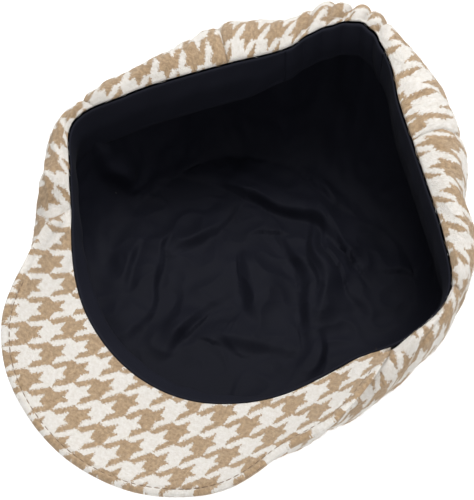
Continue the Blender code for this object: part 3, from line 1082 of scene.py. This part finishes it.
def addNap(name, pieces, density, seed, finish):
    strand = addStrand()
    mesh = bmesh.new()
    for piece in pieces:
        mesh.from_mesh(piece.data)
    data = bpy.data.meshes.new(name + "_cloth")
    mesh.to_mesh(data)
    mesh.free()
    holder = bpy.data.objects.new(name + "_cloth", data)
    bpy.context.collection.objects.link(holder)
    modifier = holder.modifiers.new("nap", "NODES")
    modifier.node_group = napTree(strand, density, seed)
    graph = bpy.context.evaluated_depsgraph_get()
    fibres = bpy.data.meshes.new_from_object(
        holder.evaluated_get(graph), preserve_all_data_layers=True, depsgraph=graph
    )
    bpy.data.objects.remove(holder)
    bpy.data.objects.remove(strand)
    fibres.materials.clear()
    fibres.materials.append(finish)
    fibres.shade_smooth()
    made = bpy.data.objects.new(name, fibres)
    bpy.context.collection.objects.link(made)
    dress(made, "houndstooth_wool")
    print(name, "fibres", len(fibres.polygons) // 9)


# Floor, light and camera
photo = {"width": 474, "height": 500, "metresPerPixel": 0.4568e-3}
view = {
    "azimuth": 27.0,
    "elevation": 55.0,
    "distance": 0.9,
    "centreHeight": 0.066,  # the height over the crown's centre that lies at the pixel below
    "centreAcross": 258,
    "centreDown": 215,
    "sensor": 36.0,
}


def addCamera():
    azimuth, elevation = math.radians(view["azimuth"]), math.radians(view["elevation"])
    back = Vector((math.sin(azimuth), -math.cos(azimuth), 0.0)) * math.cos(elevation)
    back.z = math.sin(elevation)
    right = Vector((math.cos(azimuth), math.sin(azimuth), 0.0))
    up = back.cross(right)
    scale = photo["metresPerPixel"]
    aim = centre + Vector((0.0, 0.0, view["centreHeight"]))
    aim -= right * (view["centreAcross"] - photo["width"] / 2) * scale
    aim -= up * (photo["height"] / 2 - view["centreDown"]) * scale
    lens = bpy.data.cameras.new("camera")
    lens.sensor_fit = "HORIZONTAL"
    lens.sensor_width = view["sensor"]
    lens.lens = view["sensor"] * view["distance"] / (photo["width"] * scale)
    camera = bpy.data.objects.new("camera", lens)
    place = Matrix((right, up, back)).transposed().to_4x4()
    place.translation = aim + back * view["distance"]
    camera.matrix_world = place
    bpy.context.collection.objects.link(camera)
    bpy.context.scene.camera = camera


studio = {
    "floor": (0.32, 0.32, 0.32, 1.0),
    "floorGlow": 0.93,  # the floor is a light table, so that the shadow on it stays faint
    "floorSize": 24.0,
    "sky": 0.54,
    "keyPower": 25.5,
    "keySize": 1.1,
    "keyAzimuth": 187.0,
    "keyElevation": 74.0,
    "fillPower": 7.0,
    "fillSize": 1.6,
    "fillAzimuth": 50.0,
    "fillElevation": 12.0,
    "lightDistance": 1.6,
}


def addFloor():
    mesh = bmesh.new()
    lower = Matrix.Translation((0.0, 0.0, -0.0002))
    bmesh.ops.create_grid(mesh, x_segments=1, y_segments=1, size=studio["floorSize"] / 2, matrix=lower)
    made, tree, shader = newMaterial("studio_floor")
    shader.inputs["Base Color"].default_value = studio["floor"]
    shader.inputs["Roughness"].default_value = 0.9
    shader.inputs["Specular IOR Level"].default_value = 0.0
    shader.inputs["Emission Color"].default_value = (1.0, 1.0, 1.0, 1.0)
    shader.inputs["Emission Strength"].default_value = studio["floorGlow"]
    finishMesh(mesh, "floor", made)


def addLight():
    world = bpy.data.worlds.new("studio")
    world.use_nodes = True
    sky = world.node_tree.nodes["Background"]
    sky.inputs["Color"].default_value = (1.0, 1.0, 1.0, 1.0)
    sky.inputs["Strength"].default_value = studio["sky"]
    bpy.context.scene.world = world
    for name in ("key", "fill"):
        lamp = bpy.data.lights.new(name, "AREA")
        lamp.shape = "DISK"
        lamp.size = studio[name + "Size"]
        lamp.energy = studio[name + "Power"]
        light = bpy.data.objects.new(name, lamp)
        elevation = math.radians(studio[name + "Elevation"])
        aim = direction(studio[name + "Azimuth"]) * math.cos(elevation)
        aim.z = math.sin(elevation)
        light.location = aim * studio["lightDistance"]
        light.rotation_euler = aim.to_track_quat("Z", "Y").to_euler()
        bpy.context.collection.objects.link(light)
    bpy.context.scene.view_settings.view_transform = "Standard"


addCamera()
addFloor()
addLight()
print("camera, floor and light are set")

woolFinish = houndstoothWool()
satin = darkCloth(
    "lining_cotton",
    liningFinish["navy"],
    liningFinish["navyLight"],
    liningFinish["roughness"],
    liningFinish["threadPitch"],
    1.0,
    0.00006,
)
twill = darkCloth("band_twill", (0.0066, 0.0072, 0.0120, 1.0), (0.0100, 0.0106, 0.0175, 1.0), 0.75, 0.0008, 1.0, 0.0001)

panels = [addCrownPanel(index, woolFinish) for index in range(len(crown["seams"]))]
peakPiece = addPeak(woolFinish)
addNap("crown_nap_left", panels[4:], nap["crownFibres"], 3, woolFinish)
addNap("crown_nap_right", panels[:4], nap["crownFibres"], 5, woolFinish)
addNap("peak_nap", [peakPiece], nap["peakFibres"], 7, woolFinish)
addTopstitch(threadFinish())
liningPiece = addLining(satin)
addBand(
    "sweatband_cloth", band, gathers["end"] - 360, gathers["start"], bandRipple, twill, "sweatband"
)
addBand("casing_cloth", casing, gathers["start"], gathers["end"], casingRipple, twill, "elastic_casing")
print("the cap is dressed")
